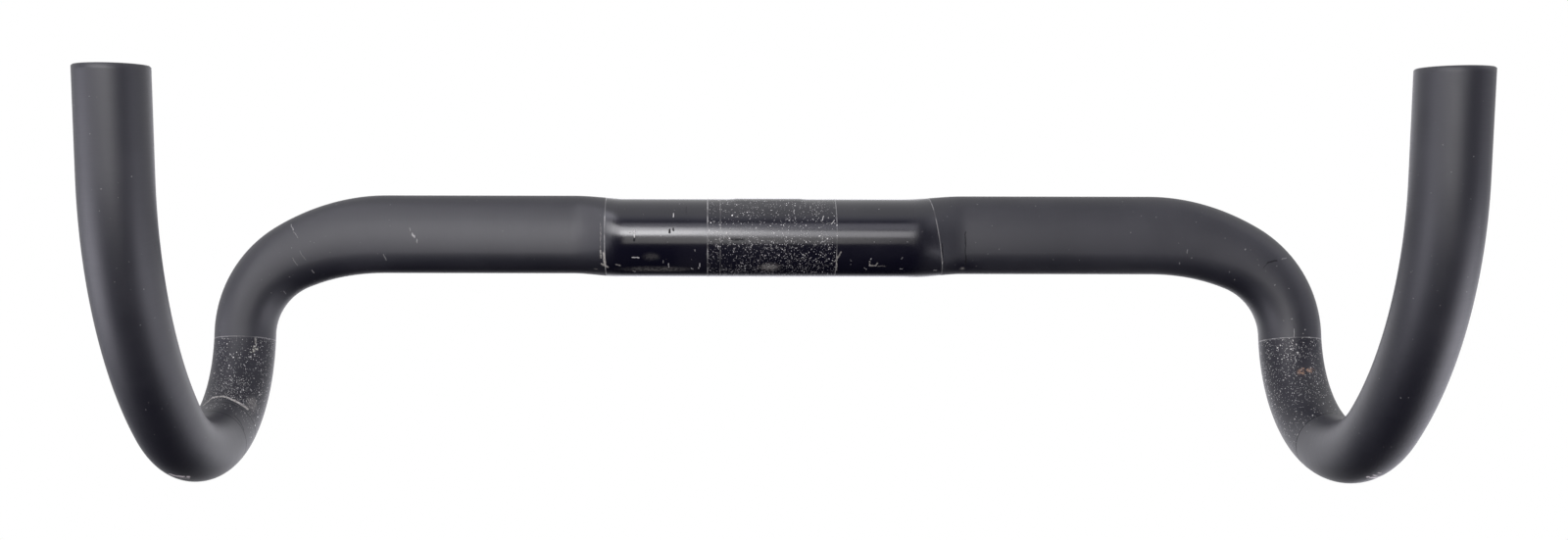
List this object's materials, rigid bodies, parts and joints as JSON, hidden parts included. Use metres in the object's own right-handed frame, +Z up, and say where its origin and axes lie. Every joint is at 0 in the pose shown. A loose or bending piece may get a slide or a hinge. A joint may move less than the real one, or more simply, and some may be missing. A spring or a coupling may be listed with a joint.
{
  "type": "road bicycle drop handlebar",
  "caption": "Drop handlebar for a road bicycle: a hollow moulded tube with a round stem clamp, flattened tops, tapering bends and round hooks that end in open drops.",
  "frame": {"origin": "centre of the round stem clamp, on its axis, midway between the two sides", "axes": "+X along the clamp axis to the rider's right, +Y forward in the direction of travel, +Z up; the drops hang towards -Z and their ends point towards -Y"},
  "size_m": [0.4512, 0.1412, 0.1552],
  "materials": {
    "laminate": "matte clear coat over dark fibre laminate, glossier at the clamp"
  },
  "bodies": {
    "root": {"handlebar": "laminate"}
  },
  "joints": []
}
